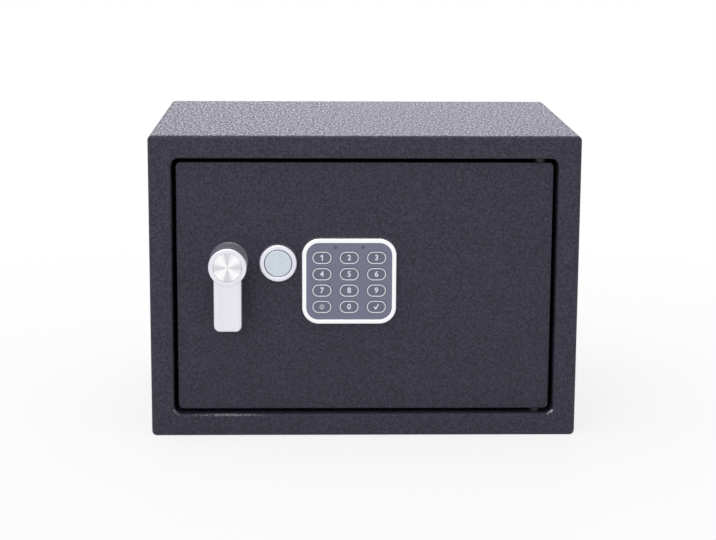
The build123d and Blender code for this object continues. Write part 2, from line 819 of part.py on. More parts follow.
# Coil spring under the plunger.
spring_low = solenoid_low + solenoid_wall + spring_wire
spring_high = plunger_tip - plunger_length - spring_wire
with BuildPart() as plunger_spring:
    with BuildLine() as spring_line:
        Helix(
            pitch=(spring_high - spring_low) / spring_turns,
            height=spring_high - spring_low,
            radius=spring_radius,
            center=(solenoid_x, plunger_y, spring_low),
        )
    with BuildSketch(Plane(origin=spring_line.line @ 0, z_dir=spring_line.line % 0)):
        RegularPolygon(radius=spring_wire, side_count=6)
    sweep(path=spring_line.line, is_frenet=True)
plunger_spring.part.label = "plunger_spring"
export_step(plunger_spring.part, "parts/plunger_spring.step")

# Bright ring round the emergency key lock.
with BuildPart() as lock_bezel:
    with BuildSketch(across(door_front_y)):
        with Locations((lock_x, lock_z)):
            Circle(bezel_radius)
    extrude(amount=bezel_height)
    fillet(lock_bezel.faces().sort_by(Axis.Y)[0].edges(), radius=bezel_height / 4)
    with BuildSketch(across(door_front_y)):
        with Locations((lock_x, lock_z)):
            Circle(bezel_bore)
    extrude(amount=bezel_height, mode=Mode.SUBTRACT)
    bezel_lip = lock_bezel.edges().filter_by(GeomType.CIRCLE).group_by(Axis.Y)[0].sort_by(SortBy.RADIUS)[0]
    chamfer(bezel_lip, length=bezel_height / 15)
lock_bezel.part.label = "lock_bezel"
export_step(lock_bezel.part, "parts/lock_bezel.step")

# Lock cylinder: a headed barrel through the door.
lock_front_y = door_front_y - lock_head_height
with BuildPart() as lock_cylinder:
    with BuildSketch(across(door_front_y)):
        with Locations((lock_x, lock_z)):
            Circle(lock_head_radius)
    extrude(amount=lock_head_height)
    with BuildSketch(across(lock_back_y)):
        with Locations((lock_x, lock_z)):
            Circle(lock_body_radius)
    extrude(amount=lock_back_y - door_front_y)
    with BuildSketch(across(lock_back_y)):
        with Locations((lock_x, lock_z)):
            Circle(lock_plug_radius + pin_fit)
    extrude(amount=lock_body_length, mode=Mode.SUBTRACT)
lock_cylinder.part.label = "lock_cylinder"
export_step(lock_cylinder.part, "parts/lock_cylinder.step")

# Nut that clamps the lock cylinder to the door.
with BuildPart() as lock_nut:
    with BuildSketch(across(door_back_y + lock_nut_height)):
        with Locations((lock_x, lock_z)):
            RegularPolygon(radius=lock_nut_radius, side_count=6)
            Circle(lock_body_radius + snug, mode=Mode.SUBTRACT)
    extrude(amount=lock_nut_height)
lock_nut.part.label = "lock_nut"
export_step(lock_nut.part, "parts/lock_nut.step")

# Plug that the emergency key turns, squared at the back for the cam.
cam_back_y = cam_front_y + cam_thickness
with BuildPart() as lock_plug:
    plug_front_y = lock_front_y + lock_plug_set
    with BuildSketch(across(cam_front_y)):
        with Locations((lock_x, lock_z)):
            Circle(lock_plug_radius)
    extrude(amount=cam_front_y - plug_front_y)
    with BuildSketch(across(cam_back_y)):
        with Locations((lock_x, lock_z)):
            Rectangle(cam_square, cam_square)
    extrude(amount=cam_thickness)
    with BuildSketch(across(plug_front_y + keyway_depth)):
        with Locations((lock_x, lock_z)):
            Rectangle(keyway_width, keyway_height)
    extrude(amount=keyway_depth, mode=Mode.SUBTRACT)
    with BuildSketch(across(cam_back_y)):
        with Locations((lock_x, lock_z)):
            Circle(screw_shank + snug)
    extrude(amount=post_screw_grip - snug, mode=Mode.SUBTRACT)
lock_plug.part.label = "lock_plug"
export_step(lock_plug.part, "parts/lock_plug.step")

# Cam on the back of the plug.
with BuildPart() as lock_cam:
    with BuildSketch(across(cam_back_y)):
        with Locations((lock_x, lock_z)):
            Circle(cam_hub_radius)
        with Locations((lock_x, lock_z + cam_reach)):
            Circle(cam_tip_radius)
        make_hull()
        with Locations((lock_x, lock_z)):
            Rectangle(cam_square + 2 * snug, cam_square + 2 * snug, mode=Mode.SUBTRACT)
    extrude(amount=cam_thickness)
lock_cam.part.label = "lock_cam"
export_step(lock_cam.part, "parts/lock_cam.step")

# Screw that holds the cam on the plug.
with BuildPart() as lock_cam_screw:
    with BuildSketch(across(cam_back_y + crank_screw_height)):
        with Locations((lock_x, lock_z)):
            Circle(crank_screw_head)
    extrude(amount=crank_screw_height)
    fillet(lock_cam_screw.faces().sort_by(Axis.Y)[-1].edges(), radius=crank_screw_height / 2)
    with BuildSketch(across(cam_back_y)):
        with Locations((lock_x, lock_z)):
            Circle(screw_shank)
    extrude(amount=post_screw_grip - 2 * snug)
lock_cam_screw.part.label = "lock_cam_screw"
export_step(lock_cam_screw.part, "parts/lock_cam_screw.step")

# Round cover that pulls out of the ring to show the keyway.
with BuildPart() as lock_cover:
    lock_cover_back_y = lock_front_y - cover_gap - lock_skirt_depth
    with BuildSketch(across(lock_cover_back_y)):
        with Locations((lock_x, lock_z)):
            Circle(bezel_bore - cover_gap)
    extrude(amount=lock_cover_thickness)
    fillet(lock_cover.faces().sort_by(Axis.Y)[0].edges(), radius=lock_cover_thickness / 3)
    with BuildSketch(across(lock_cover_back_y + lock_skirt_depth)):
        with Locations((lock_x, lock_z)):
            Circle(lock_skirt_radius)
            Circle(lock_skirt_radius - lock_skirt_wall, mode=Mode.SUBTRACT)
    extrude(amount=lock_skirt_depth)
lock_cover.part.label = "lock_cover"
export_step(lock_cover.part, "parts/lock_cover.step")

# Keypad rim: a bright rounded frame round the key field.
with BuildPart() as keypad_bezel:
    with BuildSketch(across(door_front_y)):
        with Locations((keypad_x, keypad_z)):
            RectangleRounded(keypad_width, keypad_height, keypad_corner)
    extrude(amount=keypad_proud)
    fillet(keypad_bezel.faces().sort_by(Axis.Y)[0].edges(), radius=keypad_round)
    with BuildSketch(across(door_front_y)):
        with Locations((keypad_x, keypad_z)):
            RectangleRounded(keypad_inner_width, keypad_inner_height, keypad_inner_corner)
    extrude(amount=keypad_proud, mode=Mode.SUBTRACT)
    rim_lip = keypad_bezel.faces().sort_by(Axis.Y)[0].inner_wires()[0].edges()
    fillet(rim_lip, radius=keypad_round / 2)
keypad_bezel.part.label = "keypad_bezel"
export_step(keypad_bezel.part, "parts/keypad_bezel.step")

# Base plate of the keypad, open for the cable and tapped for the screws.
with BuildPart() as keypad_base:
    with BuildSketch(across(door_front_y)):
        with Locations((keypad_x, keypad_z)):
            RectangleRounded(
                keypad_inner_width - 2 * snug,
                keypad_inner_height - 2 * snug,
                keypad_inner_corner - snug,
            )
        with Locations((keypad_x + key_pitch_x, keypad_z)):
            Circle(cable_hole_radius, mode=Mode.SUBTRACT)
        with Locations(*keypad_screw_spots):
            Circle(keypad_screw_radius + snug, mode=Mode.SUBTRACT)
    extrude(amount=keypad_base_thickness)
keypad_base.part.label = "keypad_base"
export_step(keypad_base.part, "parts/keypad_base.step")

# Circuit board.
with BuildPart() as keypad_board:
    with BuildSketch(across(base_front_y)):
        with Locations((keypad_x, keypad_z)):
            RectangleRounded(
                keypad_inner_width - board_margin,
                keypad_inner_height - board_margin,
                keypad_inner_corner,
            )
    extrude(amount=board_thickness)
keypad_board.part.label = "keypad_board"
export_step(keypad_board.part, "parts/keypad_board.step")

# Key grid shared by the mat, the face and the keys.
key_spots = [
    (keypad_x + (column - 1) * key_pitch_x, key_rows_z + (1.5 - row) * key_pitch_z)
    for row in range(4)
    for column in range(3)
]
lamp_spots = [(keypad_x - lamp_spread / 2, lamp_z), (keypad_x + lamp_spread / 2, lamp_z)]

# Rubber mat with a dome under each key.
with BuildPart() as key_mat:
    with BuildSketch(across(board_front_y)):
        with Locations((keypad_x, key_rows_z)):
            Rectangle(2 * key_pitch_x + key_width, 3 * key_pitch_z + key_height)
    extrude(amount=key_mat_thickness)
    with BuildSketch(across(mat_front_y)):
        with Locations(*key_spots):
            Circle(dome_radius)
    extrude(amount=dome_height)
key_mat.part.label = "key_mat"
export_step(key_mat.part, "parts/key_mat.step")

# Face plate with a hole for each key and each lamp.
with BuildPart() as keypad_face:
    with BuildSketch(across(face_back_y)):
        with Locations((keypad_x, keypad_z)):
            RectangleRounded(
                keypad_inner_width - 2 * snug,
                keypad_inner_height - 2 * snug,
                keypad_inner_corner - snug,
            )
        with Locations(*key_spots):
            SlotOverall(key_hole_width, key_hole_height, mode=Mode.SUBTRACT)
        with Locations(*lamp_spots):
            Circle(lamp_radius + 2 * snug, mode=Mode.SUBTRACT)
    extrude(amount=face_thickness)
keypad_face.part.label = "keypad_face"
export_step(keypad_face.part, "parts/keypad_face.step")

# Two lamps, from the board up through the face.
with BuildPart() as status_lamps:
    with BuildSketch(across(board_front_y)):
        with Locations(*lamp_spots):
            Circle(lamp_radius)
    extrude(amount=board_front_y - face_front_y)
status_lamps.part.label = "status_lamps"
export_step(status_lamps.part, "parts/status_lamps.step")

# Screws from inside the door into the keypad base.
with BuildPart() as keypad_screws:
    with BuildSketch(across(door_back_y + keypad_screw_height)):
        with Locations(*keypad_screw_spots):
            Circle(keypad_screw_head)
    extrude(amount=keypad_screw_height)
    fillet(keypad_screws.faces().group_by(Axis.Y)[-1].edges(), radius=keypad_screw_height / 2)
    with BuildSketch(across(door_back_y)):
        with Locations(*keypad_screw_spots):
            Circle(keypad_screw_radius)
    extrude(amount=door_thickness + keypad_base_thickness)
keypad_screws.part.label = "keypad_screws"
export_step(keypad_screws.part, "parts/keypad_screws.step")

# The twelve keys: an oblong cap proud of the face, over a flange that keeps it in.
key_names = ["key_1", "key_2", "key_3", "key_4", "key_5", "key_6", "key_7", "key_8", "key_9"]
key_names += ["key_set", "key_0", "key_enter"]
key_flange_front_y = face_back_y + face_clear
key_front_y = face_front_y - key_crown
for key_name, key_spot in zip(key_names, key_spots):
    with BuildPart() as key_cap:
        with BuildSketch(across(key_flange_front_y + key_flange_thickness)):
            with Locations(key_spot):
                SlotOverall(key_width + 2 * key_flange, key_height + 2 * key_flange)
        extrude(amount=key_flange_thickness)
        with BuildSketch(across(key_flange_front_y)):
            with Locations(key_spot):
                SlotOverall(key_width, key_height)
        extrude(amount=key_flange_front_y - key_front_y)
        fillet(key_cap.faces().sort_by(Axis.Y)[0].edges(), radius=key_edge)
    key_cap.part.label = key_name
    export_step(key_cap.part, f"parts/{key_name}.step")

# Sheet tray over the bolt work, open for the bolts, the battery box and the button.
battery_stack = battery_count * battery_pitch
box_inner_height = battery_stack + 2 * battery_side_room
box_inner_length = battery_length + battery_nub + 2 * battery_end_room
with BuildPart() as inner_cover:
    with BuildSketch(across(cover_back_y)):
        with Locations((cover_mid_x, cover_mid_z)):
            RectangleRounded(cover_width, cover_height, cover_corner)
    extrude(amount=cover_depth)
    fillet(inner_cover.faces().sort_by(Axis.Y)[-1].edges(), radius=cover_bend)
    with BuildSketch(across(cover_inner_y)):
        with Locations((cover_mid_x, cover_mid_z)):
            RectangleRounded(
                cover_width - 2 * cover_wall,
                cover_height - 2 * cover_wall,
                cover_corner - cover_wall,
            )
    extrude(amount=cover_depth - cover_wall, mode=Mode.SUBTRACT)
    with BuildSketch(Plane.YZ.offset(cover_left)):
        with Locations((bolt_y, bolt_low), (bolt_y, bolt_high)):
            Circle(bolt_radius + cover_bolt_play)
    extrude(amount=cover_wall, mode=Mode.SUBTRACT)
    post_spots = [
        (post_x, post_z)
        for post_x in (cover_left + post_inset, cover_right - post_inset)
        for post_z in (cover_low + post_inset, cover_high - post_inset)
    ]
    with BuildSketch(across(cover_back_y)):
        with Locations((battery_box_x, battery_box_z)):
            Rectangle(box_inner_length, box_inner_height)
        with Locations((reset_x, reset_z)):
            Circle(reset_radius + reset_clear)
        with Locations(*post_spots):
            Circle(post_screw_radius + snug)
    extrude(amount=cover_wall, mode=Mode.SUBTRACT)
inner_cover.part.label = "inner_cover"
export_step(inner_cover.part, "parts/inner_cover.step")

# Posts on the door that the cover is screwed to.
with BuildPart() as cover_posts:
    with BuildSketch(across(cover_inner_y)):
        with Locations(*post_spots):
            Circle(post_radius)
    extrude(amount=cover_inner_y - door_back_y)
    with BuildSketch(across(cover_inner_y)):
        with Locations(*post_spots):
            Circle(post_screw_radius + snug)
    extrude(amount=post_screw_grip + snug, mode=Mode.SUBTRACT)
cover_posts.part.label = "cover_posts"
export_step(cover_posts.part, "parts/cover_posts.step")

# Cover screws.
with BuildPart() as cover_screws:
    with BuildSketch(across(cover_back_y + post_screw_height)):
        with Locations(*post_spots):
            Circle(post_screw_head)
    extrude(amount=post_screw_height)
    fillet(cover_screws.faces().group_by(Axis.Y)[-1].edges(), radius=post_screw_height / 2)
    with BuildSketch(across(cover_back_y)):
        with Locations(*post_spots):
            Circle(post_screw_radius)
    extrude(amount=cover_wall + post_screw_grip)
cover_screws.part.label = "cover_screws"
export_step(cover_screws.part, "parts/cover_screws.step")

# Battery box: a tray behind the cover opening, with a rim that meets the cover.
battery_y = cover_inner_y - battery_box_flange / 2 - battery_radius
box_floor_y = battery_y - battery_radius - snug
with BuildPart() as battery_box:
    with BuildSketch(across(cover_inner_y)):
        with Locations((battery_box_x, battery_box_z)):
            RectangleRounded(
                box_inner_length + 2 * battery_box_flange,
                box_inner_height + 2 * battery_box_flange,
                battery_box_wall,
            )
    extrude(amount=battery_box_wall)
    with BuildSketch(across(cover_inner_y)):
        with Locations((battery_box_x, battery_box_z)):
            Rectangle(
                box_inner_length + 2 * battery_box_wall,
                box_inner_height + 2 * battery_box_wall,
            )
    extrude(amount=cover_inner_y - box_floor_y + battery_box_wall)
    with BuildSketch(across(cover_inner_y)):
        with Locations((battery_box_x, battery_box_z)):
            Rectangle(box_inner_length, box_inner_height)
    extrude(amount=cover_inner_y - box_floor_y, mode=Mode.SUBTRACT)
battery_box.part.label = "battery_box"
export_step(battery_box.part, "parts/battery_box.step")

# Four cells side by side, alternate ways round.
with BuildPart() as batteries:
    for cell in range(battery_count):
        cell_z = battery_box_z + (cell - (battery_count - 1) / 2) * battery_pitch
        nub_side = 1 if cell % 2 else -1
        with BuildSketch(Plane.YZ.offset(battery_box_x - battery_length / 2)):
            with Locations((battery_y, cell_z)):
                Circle(battery_radius)
        extrude(amount=battery_length)
        with BuildSketch(Plane.YZ.offset(battery_box_x + nub_side * battery_length / 2)):
            with Locations((battery_y, cell_z)):
                Circle(battery_nub_radius)
        extrude(amount=nub_side * battery_nub)
batteries.part.label = "batteries"
export_step(batteries.part, "parts/batteries.step")

# Contact leaves at both ends of each cell.
with BuildPart() as battery_contacts:
    for end_side in (-1, 1):
        with BuildSketch(Plane.YZ.offset(battery_box_x + end_side * box_inner_length / 2)):
            with Locations((battery_y, battery_box_z)):
                with GridLocations(0, battery_pitch, 1, battery_count):
                    Rectangle(contact_width, contact_width)
        extrude(amount=-end_side * contact_thickness)
battery_contacts.part.label = "battery_contacts"
export_step(battery_contacts.part, "parts/battery_contacts.step")

# Battery lid: a plate outside the cover with a skirt that plugs into the box.
with BuildPart() as battery_lid:
    with BuildSketch(across(cover_back_y + apart + lid_thickness)):
        with Locations((battery_box_x, battery_box_z)):
            RectangleRounded(
                box_inner_length + 2 * lid_overlap,
                box_inner_height + 2 * lid_overlap,
                lid_overlap,
            )
    extrude(amount=lid_thickness)
    fillet(battery_lid.faces().sort_by(Axis.Y)[-1].edges(), radius=lid_thickness / 3)
    with BuildSketch(across(cover_back_y + apart + lid_thickness + lid_grip_height)):
        with Locations((battery_box_x, battery_box_z)):
            with GridLocations(0, lid_grip_pitch, 1, lid_grip_count):
                Rectangle(lid_grip_width, lid_grip_ridge)
    extrude(amount=lid_grip_height)
    with BuildSketch(across(cover_back_y + apart)):
        with Locations((battery_box_x, battery_box_z)):
            Rectangle(box_inner_length - 2 * apart, box_inner_height - 2 * apart)
            Rectangle(
                box_inner_length - 2 * apart - 2 * lid_wall,
                box_inner_height - 2 * apart - 2 * lid_wall,
                mode=Mode.SUBTRACT,
            )
    extrude(amount=lid_skirt)
battery_lid.part.label = "battery_lid"
export_step(battery_lid.part, "parts/battery_lid.step")

# Switch block behind the cover and the round button that works it.
with BuildPart() as reset_switch:
    with BuildSketch(across(cover_inner_y)):
        with Locations((reset_x, reset_z)):
            RectangleRounded(reset_box, reset_box, cover_wall)
    extrude(amount=reset_bore_depth + battery_box_wall)
    with BuildSketch(across(cover_inner_y)):
        with Locations((reset_x, reset_z)):
            Circle(reset_flange_radius + reset_clear)
    extrude(amount=reset_bore_depth, mode=Mode.SUBTRACT)
reset_switch.part.label = "reset_switch"
export_step(reset_switch.part, "parts/reset_switch.step")

with BuildPart() as reset_button:
    button_tip_y = cover_back_y + reset_proud
    button_flange_y = cover_inner_y - reset_clear
    with BuildSketch(across(button_tip_y)):
        with Locations((reset_x, reset_z)):
            Circle(reset_radius)
    extrude(amount=reset_length)
    fillet(reset_button.faces().sort_by(Axis.Y)[-1].edges(), radius=reset_radius / 5)
    with BuildSketch(across(button_flange_y)):
        with Locations((reset_x, reset_z)):
            Circle(reset_flange_radius)
    extrude(amount=reset_flange_thickness)
reset_button.part.label = "reset_button"
export_step(reset_button.part, "parts/reset_button.step")
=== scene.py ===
import bpy
import json
import math
from mathutils import Matrix, Vector


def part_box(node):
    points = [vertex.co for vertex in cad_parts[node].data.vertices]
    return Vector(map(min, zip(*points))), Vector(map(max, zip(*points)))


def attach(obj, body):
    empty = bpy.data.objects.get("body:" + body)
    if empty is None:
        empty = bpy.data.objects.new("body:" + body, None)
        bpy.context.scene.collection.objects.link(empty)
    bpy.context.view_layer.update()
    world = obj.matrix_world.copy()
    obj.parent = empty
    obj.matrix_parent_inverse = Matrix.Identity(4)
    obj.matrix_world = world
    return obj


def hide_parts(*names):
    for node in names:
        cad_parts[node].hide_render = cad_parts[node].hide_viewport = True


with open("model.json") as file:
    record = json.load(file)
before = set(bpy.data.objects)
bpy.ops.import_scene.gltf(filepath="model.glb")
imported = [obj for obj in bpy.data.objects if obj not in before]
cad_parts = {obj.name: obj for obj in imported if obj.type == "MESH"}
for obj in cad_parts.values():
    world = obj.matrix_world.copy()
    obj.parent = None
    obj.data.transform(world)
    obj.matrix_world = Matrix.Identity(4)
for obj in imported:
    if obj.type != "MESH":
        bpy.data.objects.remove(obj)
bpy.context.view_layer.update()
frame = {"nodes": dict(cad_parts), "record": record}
nodes = frame["nodes"]
print("frame loaded:", len(nodes), "nodes")

mm = 0.001


def clearSelection():
    bpy.ops.object.select_all(action="DESELECT")


def activate(piece):
    clearSelection()
    piece.select_set(True)
    bpy.context.view_layer.objects.active = piece


def settle(piece, name):
    # the place goes into the mesh, so that object patterns stay put
    activate(piece)
    piece.name = name
    piece.data.name = name
    bpy.ops.object.transform_apply(location=True, rotation=True, scale=True)
    return piece


def finishMods(piece):
    activate(piece)
    for mod in list(piece.modifiers):
        bpy.ops.object.modifier_apply(modifier=mod.name)


def smoothByAngle(piece, degrees=30.0):
    activate(piece)
    bpy.ops.object.shade_smooth_by_angle(angle=math.radians(degrees))


def dress(piece, material):
    piece.data.materials.clear()
    piece.data.materials.append(material)


def newMaterial(name, color, roughness, metallic=0.0):
    material = bpy.data.materials.new(name)
    material.use_nodes = True
    shader = material.node_tree.nodes["Principled BSDF"]
    shader.inputs["Base Color"].default_value = (*color, 1.0)
    shader.inputs["Roughness"].default_value = roughness
    shader.inputs["Metallic"].default_value = metallic
    return material, shader


def srgb(red, green, blue):
    def linear(value):
        value = value / 255.0
        return value / 12.92 if value <= 0.04045 else ((value + 0.055) / 1.055) ** 2.4
    return (linear(red), linear(green), linear(blue))


def shaded(color, share):
    return tuple(value * share for value in color)


def mathNode(tree, operation, kind="ShaderNodeMath"):
    node = tree.nodes.new(kind)
    node.operation = operation
    return node


def objectNoise(material, scale, detail=2.0, roughness=0.5, stretch=None):
    tree = material.node_tree
    coords = tree.nodes.new("ShaderNodeTexCoord")
    source = coords.outputs["Object"]
    if stretch:
        mapping = tree.nodes.new("ShaderNodeMapping")
        mapping.inputs["Scale"].default_value = stretch
        tree.links.new(source, mapping.inputs["Vector"])
        source = mapping.outputs["Vector"]
    noise = tree.nodes.new("ShaderNodeTexNoise")
    noise.inputs["Scale"].default_value = scale
    noise.inputs["Detail"].default_value = detail
    noise.inputs["Roughness"].default_value = roughness
    tree.links.new(source, noise.inputs["Vector"])
    return noise


def rampBetween(material, fac, low, high, start=0.35, end=0.65):
    ramp = material.node_tree.nodes.new("ShaderNodeValToRGB")
    ramp.color_ramp.elements[0].position = start
    ramp.color_ramp.elements[0].color = (*low, 1.0)
    ramp.color_ramp.elements[1].position = end
    ramp.color_ramp.elements[1].color = (*high, 1.0)
    material.node_tree.links.new(fac, ramp.inputs["Fac"])
    return ramp


def bumpFrom(material, shader, height, strength, distance):
    bump = material.node_tree.nodes.new("ShaderNodeBump")
    bump.inputs["Strength"].default_value = strength
    bump.inputs["Distance"].default_value = distance
    material.node_tree.links.new(height, bump.inputs["Height"])
    material.node_tree.links.new(bump.outputs["Normal"], shader.inputs["Normal"])
    return bump


def toneAndBump(material, shader, noise, color, look):
    tone = rampBetween(material, noise.outputs["Fac"], shaded(color, look["shade"]), color)
    material.node_tree.links.new(tone.outputs["Color"], shader.inputs["Base Color"])
    bumpFrom(material, shader, noise.outputs["Fac"], look["bump"], look["bumpDepth"])


coat = {
    "dark": srgb(38, 36, 47),
    "light": srgb(69, 66, 83),
    "grain": 700.0,
    "grainDetail": 3.0,
    "grainRoughness": 0.6,
    "toneFrom": 0.38,
    "toneTo": 0.66,
    "roughness": 0.4,
    "glossGrain": 560.0,
    "glossStretch": (1.0, 0.3, 1.0),
    "glossFrom": 0.38,
    "glossTo": 0.62,
    "smooth": 0.29,
    "rough": 0.66,
    "specular": 0.3,
    "bump": 1.0,
    "bumpDepth": 0.0007,
}

# painted glints: bright spots of painted highlight on the bend round the opening, each with its half
# sizes
coatGlints = {
    "fadeFrom": 0.4,
    "patchFrom": 0.4,
    "patchTo": 0.55,
    # colour of the painted highlight, mixed into the coat's base colour
    "bare": (0.8, 0.8, 0.84),
    "spots": [
        {
            "at": (0.1547, -0.1242, 0.0203), "turn": -45.0,
            "reach": (0.0042, 0.003, 0.0013), "bright": 1.0,
        },
        {
            "at": (-0.1547, -0.1242, 0.0203), "turn": 45.0,
            "reach": (0.0042, 0.003, 0.0012), "bright": 0.4,
        },
        {
            "at": (-0.112, -0.1242, 0.0178), "turn": 0.0,
            "reach": (0.034, 0.003, 0.0013), "bright": 0.3,
        },
    ],
}


def rubbedSpots(material, shader, tone, grain):
    tree = material.node_tree
    coords = tree.nodes.new("ShaderNodeTexCoord")
    total = None
    for spot in coatGlints["spots"]:
        place = tree.nodes.new("ShaderNodeMapping")
        place.vector_type = "TEXTURE"
        place.inputs["Location"].default_value = spot["at"]
        place.inputs["Rotation"].default_value = (0.0, math.radians(spot["turn"]), 0.0)
        place.inputs["Scale"].default_value = spot["reach"]
        away = mathNode(tree, "LENGTH", "ShaderNodeVectorMath")
        fade = tree.nodes.new("ShaderNodeMapRange")
        fade.inputs["From Min"].default_value = coatGlints["fadeFrom"]
        fade.inputs["To Min"].default_value = spot["bright"]
        fade.inputs["To Max"].default_value = 0.0
        tree.links.new(coords.outputs["Object"], place.inputs["Vector"])
        tree.links.new(place.outputs["Vector"], away.inputs[0])
        tree.links.new(away.outputs["Value"], fade.inputs["Value"])
        if total is None:
            total = fade.outputs["Result"]
        else:
            larger = mathNode(tree, "MAXIMUM")
            tree.links.new(total, larger.inputs[0])
            tree.links.new(fade.outputs["Result"], larger.inputs[1])
            total = larger.outputs[0]
    patchy = tree.nodes.new("ShaderNodeMapRange")
    patchy.inputs["From Min"].default_value = coatGlints["patchFrom"]
    patchy.inputs["From Max"].default_value = coatGlints["patchTo"]
    glintMask = mathNode(tree, "MULTIPLY")
    # the painted glint colour goes into the base colour where the spots and the grain allow
    blend = tree.nodes.new("ShaderNodeMix")
    blend.data_type = "RGBA"
    blend.inputs["B"].default_value = (*coatGlints["bare"], 1.0)
    tree.links.new(grain.outputs["Fac"], patchy.inputs["Value"])
    tree.links.new(total, glintMask.inputs[0])
    tree.links.new(patchy.outputs["Result"], glintMask.inputs[1])
    tree.links.new(glintMask.outputs[0], blend.inputs["Factor"])
    tree.links.new(tone.outputs["Color"], blend.inputs["A"])
    tree.links.new(blend.outputs["Result"], shader.inputs["Base Color"])


def powderCoat(name, shade=1.0, glinted=False):
    low = shaded(coat["dark"], shade)
    high = shaded(coat["light"], shade)
    material, shader = newMaterial(name, high, coat["roughness"])
    grain = objectNoise(material, coat["grain"], coat["grainDetail"], coat["grainRoughness"])
    tone = rampBetween(
        material, grain.outputs["Fac"], low, high, coat["toneFrom"], coat["toneTo"]
    )
    material.node_tree.links.new(tone.outputs["Color"], shader.inputs["Base Color"])
    patches = objectNoise(material, coat["glossGrain"], stretch=coat["glossStretch"])
    gloss = material.node_tree.nodes.new("ShaderNodeMapRange")
    gloss.inputs["From Min"].default_value = coat["glossFrom"]
    gloss.inputs["From Max"].default_value = coat["glossTo"]
    gloss.inputs["To Min"].default_value = coat["rough"]
    gloss.inputs["To Max"].default_value = coat["smooth"]
    material.node_tree.links.new(patches.outputs["Fac"], gloss.inputs["Value"])
    material.node_tree.links.new(gloss.outputs["Result"], shader.inputs["Roughness"])
    bumpFrom(material, shader, grain.outputs["Fac"], coat["bump"], coat["bumpDepth"])
    shader.inputs["Specular IOR Level"].default_value = coat["specular"]
    # only the shell coat gets the painted glints
    if glinted:
        rubbedSpots(material, shader, tone, grain)
    return material


fineBump = 0.00005  # depth of the finest marks, in metres


def satinMetal(name, color, roughness, grain=900.0, stretch=(1.0, 1.0, 1.0), bump=0.05, depth=0.93):
    # the darker tone of the streaks is depth times the colour
    material, shader = newMaterial(name, color, roughness, 1.0)
    streak = objectNoise(material, grain, stretch=stretch)
    look = {"shade": depth, "bump": bump, "bumpDepth": fineBump}
    toneAndBump(material, shader, streak, color, look)
    return material


def spunMetal(name, spin):
    # turned face: fine radial streaks, and four bright wedges of painted highlight, with painted shade
    # between them, about the piece's own centre
    material, shader = newMaterial(name, spin["light"], spin["roughness"], 1.0)
    tree = material.node_tree
    coords = tree.nodes.new("ShaderNodeTexCoord")
    centred = tree.nodes.new("ShaderNodeMapping")
    centred.vector_type = "POINT"
    centred.inputs["Location"].default_value = tuple(-value for value in spin["centre"])
    flat = mathNode(tree, "MULTIPLY", "ShaderNodeVectorMath")
    flat.inputs[1].default_value = (1.0, 0.0, 1.0)
    spoke = mathNode(tree, "NORMALIZE", "ShaderNodeVectorMath")
    parts = tree.nodes.new("ShaderNodeSeparateXYZ")
    square = mathNode(tree, "MULTIPLY")
    rest = mathNode(tree, "SUBTRACT")
    rest.inputs[0].default_value = 1.0
    highlightWedge = mathNode(tree, "MULTIPLY")
    streak = tree.nodes.new("ShaderNodeTexNoise")
    streak.inputs["Scale"].default_value = spin["streaks"]
    streak.inputs["Detail"].default_value = spin["streakDetail"]
    # the painted highlight wedges are added to the streaks before the tone ramp
    blended = mathNode(tree, "MULTIPLY_ADD")
    blended.inputs[1].default_value = spin["highlightGain"]
    ramp = rampBetween(
        material, blended.outputs[0], spin["dark"], spin["light"], spin["toneFrom"], spin["toneTo"]
    )
    tree.links.new(coords.outputs["Object"], centred.inputs["Vector"])
    tree.links.new(centred.outputs["Vector"], flat.inputs[0])
    tree.links.new(flat.outputs["Vector"], spoke.inputs[0])
    tree.links.new(spoke.outputs["Vector"], parts.inputs[0])
    tree.links.new(parts.outputs["X"], square.inputs[0])
    tree.links.new(parts.outputs["X"], square.inputs[1])
    tree.links.new(square.outputs[0], rest.inputs[1])
    tree.links.new(square.outputs[0], highlightWedge.inputs[0])
    tree.links.new(rest.outputs[0], highlightWedge.inputs[1])
    tree.links.new(spoke.outputs["Vector"], streak.inputs["Vector"])
    tree.links.new(highlightWedge.outputs[0], blended.inputs[0])
    tree.links.new(streak.outputs["Fac"], blended.inputs[2])
    tree.links.new(ramp.outputs["Color"], shader.inputs["Base Color"])
    bumpFrom(material, shader, streak.outputs["Fac"], spin["bump"], fineBump)
    return material


moulding = {"grain": 1500.0, "shade": 0.88, "bump": 0.12, "bumpDepth": 0.00008}


def mouldedPlastic(name, color, roughness, grain=moulding["grain"]):
    material, shader = newMaterial(name, color, roughness)
    toneAndBump(material, shader, objectNoise(material, grain), color, moulding)
    return material


feltPile = {
    "roughness": 0.95,
    "fibre": 1400.0,
    "fibreDetail": 5.0,
    "fibreRoughness": 0.7,
    "shade": 0.5,
    "bump": 0.6,
    "bumpDepth": 0.0004,
}


def feltCloth(name, color):
    material, shader = newMaterial(name, color, feltPile["roughness"])
    fibre = objectNoise(
        material, feltPile["fibre"], feltPile["fibreDetail"], feltPile["fibreRoughness"]
    )
    toneAndBump(material, shader, fibre, color, feltPile)
    return material


